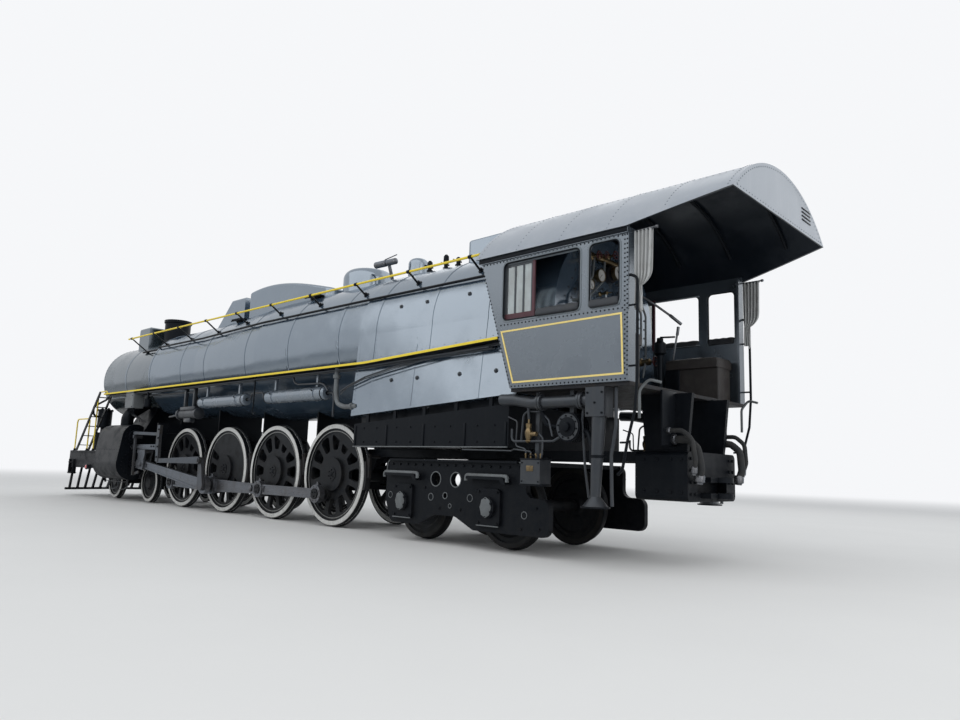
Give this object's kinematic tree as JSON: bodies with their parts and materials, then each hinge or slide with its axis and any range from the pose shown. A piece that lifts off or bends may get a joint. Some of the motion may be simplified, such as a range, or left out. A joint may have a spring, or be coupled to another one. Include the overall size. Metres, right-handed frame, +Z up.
{
  "type": "steam locomotive",
  "caption": "Large steam locomotive with spoked drivers, side and main rods, valve gear, leading and trailing trucks, a jacketed boiler with domes, and an open-backed cab.",
  "frame": {"origin": "on the floor under the wheel flanges, midway along the length and the width", "axes": "+X towards the pilot, +Y to the engine's left, +Z up"},
  "size_m": [20.3, 3.2096, 4.9526],
  "materials": {
    "jacket": "gloss",
    "smokebox_paint": "satin",
    "frame_paint": "satin",
    "wheel_paint": "satin",
    "rod_steel": "brushed",
    "cab_paint": "gloss",
    "roof_paint": "satin",
    "sash_wood": "satin",
    "pane": "clear",
    "seat_leather": "satin",
    "iron": "matte",
    "bell_brass": "polished",
    "rail_paint": "satin",
    "headlight_metal": "gloss"
  },
  "bodies": {
    "engine": {"air_pumps": "frame_paint", "air_tanks": "frame_paint", "ashpan": "frame_paint", "backhead": "iron", "bell": "bell_brass", "boiler_barrel": "jacket", "boiler_housings": "jacket", "brake_shoes": "iron", "cab_floor": "frame_paint", "cab_front": "cab_paint", "cab_glass": "pane", "cab_piping": "frame_paint", "cab_roof": "roof_paint", "cab_sashes": "sash_wood", "cab_seats": "seat_leather", "cab_side_left": "cab_paint", "cab_side_right": "cab_paint", "crossheads": "rod_steel", "cylinders": "jacket", "drag_beam": "frame_paint", "driving_boxes": "frame_paint", "feedwater_heater": "smokebox_paint", "firebox_casing": "jacket", "front_coupler": "iron", "front_deck": "frame_paint", "guide_yoke": "frame_paint", "guides": "rod_steel", "handrails": "rail_paint", "ladders": "frame_paint", "lubricators": "frame_paint", "main_frame": "frame_paint", "main_rods": "rod_steel", "pilot": "frame_paint", "running_boards": "frame_paint", "smokebox": "smokebox_paint", "smokebox_front": "smokebox_paint", "spring_rigging": "frame_paint", "stack": "smokebox_paint", "steam_domes": "jacket", "valve_gear": "rod_steel"},
    "driver_1": {"driver_1": "wheel_paint"},
    "driver_2": {"driver_2": "wheel_paint"},
    "driver_3": {"driver_3": "wheel_paint"},
    "driver_4": {"driver_4": "wheel_paint"},
    "side_rod_left": {"side_rod_left": "rod_steel"},
    "side_rod_right": {"side_rod_right": "rod_steel"},
    "lead_truck": {"lead_truck_frame": "frame_paint"},
    "lead_wheels_1": {"lead_axle_1": "wheel_paint"},
    "lead_wheels_2": {"lead_axle_2": "wheel_paint"},
    "trail_truck": {"trail_truck_frame": "frame_paint"},
    "trail_wheels_1": {"trail_axle_1": "wheel_paint"},
    "trail_wheels_2": {"trail_axle_2": "wheel_paint"},
    "door": {"smokebox_door": "smokebox_paint", "headlight": "headlight_metal"}
  },
  "joints": [
    {"name": "driver_2_spin", "type": "hinge", "parent": "engine", "child": "driver_2", "pos_m": [1.462, 0, 0.917], "axis": [0, 1, 0], "continuous": true},
    {"name": "driver_1_spin", "type": "hinge", "parent": "engine", "child": "driver_1", "pos_m": [3.418, 0, 0.917], "axis": [0, 1, 0], "continuous": true},
    {"name": "driver_3_spin", "type": "hinge", "parent": "engine", "child": "driver_3", "pos_m": [-0.494, 0, 0.917], "axis": [0, 1, 0], "continuous": true},
    {"name": "driver_4_spin", "type": "hinge", "parent": "engine", "child": "driver_4", "pos_m": [-2.45, 0, 0.917], "axis": [0, 1, 0], "continuous": true},
    {"name": "side_rod_left_pin", "type": "hinge", "parent": "driver_2", "child": "side_rod_left", "pos_m": [1.665, 0.98, 0.5654], "axis": [0, 1, 0], "continuous": true},
    {"name": "side_rod_right_pin", "type": "hinge", "parent": "driver_2", "child": "side_rod_right", "pos_m": [1.1104, -0.98, 0.714], "axis": [0, 1, 0], "continuous": true},
    {"name": "lead_truck_swivel", "type": "hinge", "parent": "engine", "child": "lead_truck", "pos_m": [6.305, 0, 0.8], "axis": [0, 0, 1], "range_deg": [-3, 3]},
    {"name": "lead_wheels_1_spin", "type": "hinge", "parent": "lead_truck", "child": "lead_wheels_1", "pos_m": [7.372, 0, 0.485], "axis": [0, 1, 0], "continuous": true},
    {"name": "lead_wheels_2_spin", "type": "hinge", "parent": "lead_truck", "child": "lead_wheels_2", "pos_m": [5.238, 0, 0.485], "axis": [0, 1, 0], "continuous": true},
    {"name": "trail_truck_swivel", "type": "hinge", "parent": "engine", "child": "trail_truck", "pos_m": [-3.65, 0, 1.16], "axis": [0, 0, 1], "range_deg": [-3, 3]},
    {"name": "trail_wheels_1_spin", "type": "hinge", "parent": "trail_truck", "child": "trail_wheels_1", "pos_m": [-4.85, 0, 0.587], "axis": [0, 1, 0], "continuous": true},
    {"name": "trail_wheels_2_spin", "type": "hinge", "parent": "trail_truck", "child": "trail_wheels_2", "pos_m": [-6.6, 0, 0.587], "axis": [0, 1, 0], "continuous": true},
    {"name": "smokebox_door_hinge", "type": "hinge", "parent": "engine", "child": "door", "pos_m": [8.556, 0.74, 3.22], "axis": [0, 0, 1], "range_deg": [0, 110]}
  ],
  "couplings": [
    {"joint": "driver_1_spin", "follows": "driver_2_spin", "ratio": 1},
    {"joint": "driver_3_spin", "follows": "driver_2_spin", "ratio": 1},
    {"joint": "driver_4_spin", "follows": "driver_2_spin", "ratio": 1},
    {"joint": "side_rod_left_pin", "follows": "driver_2_spin", "ratio": -1},
    {"joint": "side_rod_right_pin", "follows": "driver_2_spin", "ratio": -1}
  ]
}
